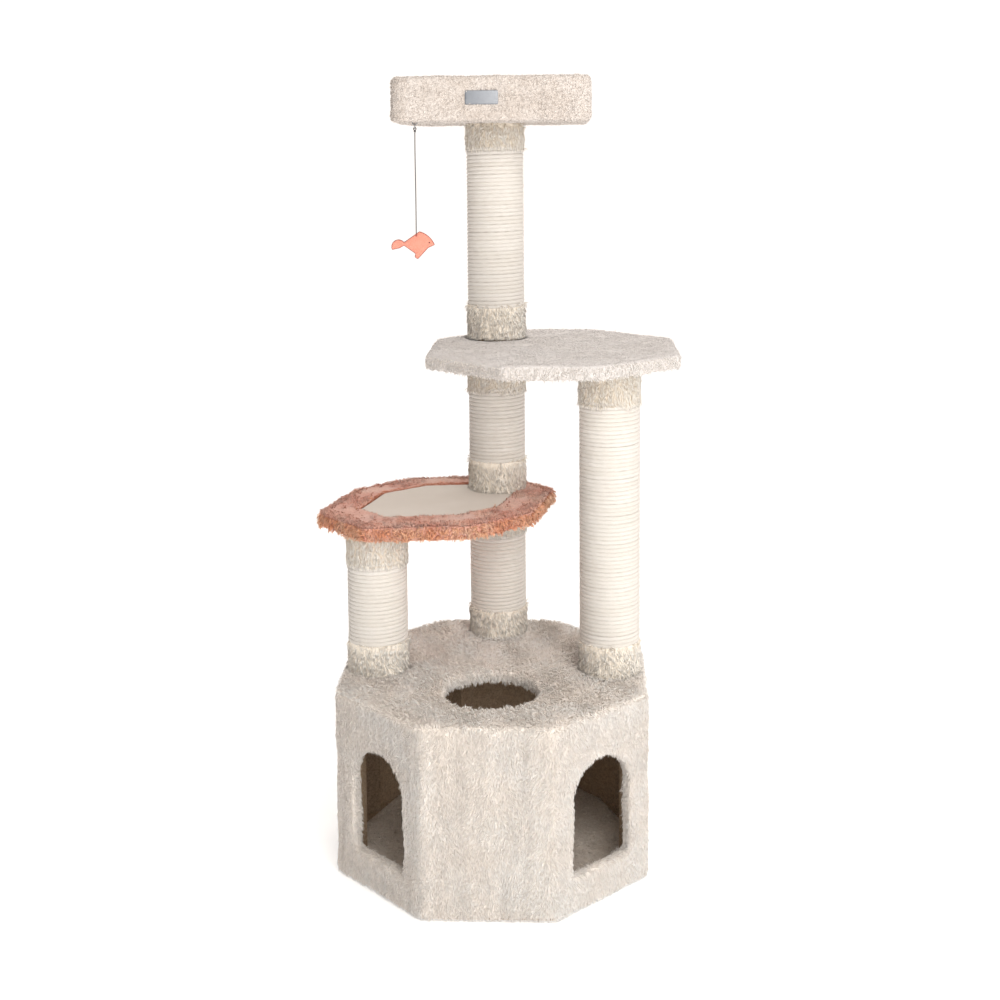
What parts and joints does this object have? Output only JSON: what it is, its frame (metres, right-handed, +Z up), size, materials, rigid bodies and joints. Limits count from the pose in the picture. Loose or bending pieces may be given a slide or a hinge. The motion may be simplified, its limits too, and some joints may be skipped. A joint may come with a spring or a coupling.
{
  "type": "cat tree",
  "caption": "Tall cat tree: octagonal condo with arched doors and a top hole, rope-wound posts, octagonal perches, a tray perch on top and a hanging fish toy.",
  "frame": {"origin": "centre of the condo's footprint, on the floor", "axes": "+Z up, +X to the side of the right post, +Y to the side of the rear post; the condo's front face looks along -Y"},
  "size_m": [0.5531, 0.56, 1.188],
  "materials": {
    "board": "raw particle board",
    "condo_plush": "long shaggy pile, warm beige grey",
    "platform_plush": "short dense pile, cream grey",
    "perch_plush": "short looped pile, cream",
    "collar_plush": "upright pile, tan beige",
    "salmon_plush": "long pile, salmon",
    "suede": "smooth suede, cream",
    "sisal": "wound twisted rope, cream",
    "cardboard": "spiral wound cardboard tube",
    "steel": "zinc plated",
    "plate_metal": "brushed",
    "cord": "dark twisted string",
    "felt": "coral felt"
  },
  "bodies": {
    "tree": {"condo_wall_right": "board", "condo_wall_rear_right": "board", "condo_wall_rear": "board", "condo_wall_rear_left": "board", "condo_wall_left": "board", "condo_wall_front_left": "board", "condo_wall_front": "board", "condo_wall_front_right": "board", "condo_floor_board": "board", "condo_top_board": "board", "low_perch_board": "board", "mid_platform_board": "board", "perch_base_board": "board", "perch_rim_boards": "board", "post_plugs": "board", "corner_battens": "board", "condo_floor_plush": "condo_plush", "condo_top_plush": "condo_plush", "condo_hole_lining": "condo_plush", "condo_wall_plush": "condo_plush", "condo_door_linings": "condo_plush", "left_post_tube": "cardboard", "left_post_rope": "sisal", "left_post_lower_collar": "collar_plush", "left_post_upper_collar": "collar_plush", "right_post_tube": "cardboard", "right_post_rope": "sisal", "right_post_lower_collar": "collar_plush", "right_post_upper_collar": "collar_plush", "rear_post_lower_tube": "cardboard", "rear_post_lower_rope": "sisal", "rear_post_lower_lower_collar": "collar_plush", "rear_post_lower_upper_collar": "collar_plush", "rear_post_middle_tube": "cardboard", "rear_post_middle_rope": "sisal", "rear_post_middle_lower_collar": "collar_plush", "rear_post_middle_upper_collar": "collar_plush", "rear_post_upper_tube": "cardboard", "rear_post_upper_rope": "sisal", "rear_post_upper_lower_collar": "collar_plush", "rear_post_upper_upper_collar": "collar_plush", "condo_screws": "steel", "post_inserts": "steel", "condo_bolts": "steel", "condo_washers": "steel", "joining_studs": "steel", "cap_bolts": "steel", "toy_eye": "steel", "low_perch_rim": "salmon_plush", "low_perch_panel": "suede", "mid_platform_plush": "platform_plush", "perch_plush": "perch_plush", "perch_pad": "perch_plush", "nameplate": "plate_metal", "nameplate_rivets": "plate_metal"},
    "toy_ring": {"toy_ring": "steel"},
    "toy_line": {"toy_knot": "cord", "toy_cord": "cord"},
    "toy_fish": {"toy_fish": "felt"}
  },
  "joints": [
    {"name": "toy_ring_swing", "type": "hinge", "parent": "tree", "child": "toy_ring", "pos_m": [-0.116, 0.05, 1.117], "axis": [1, 0, 0], "range_deg": [-60, 10]},
    {"name": "toy_line_swing", "type": "hinge", "parent": "toy_ring", "child": "toy_line", "pos_m": [-0.116, 0.05, 1.1108], "axis": [0, -1, 0], "range_deg": [-60, 30]},
    {"name": "toy_fish_spin", "type": "hinge", "parent": "toy_line", "child": "toy_fish", "pos_m": [-0.116, 0.05, 0.944], "axis": [0, 0, 1], "continuous": true}
  ]
}
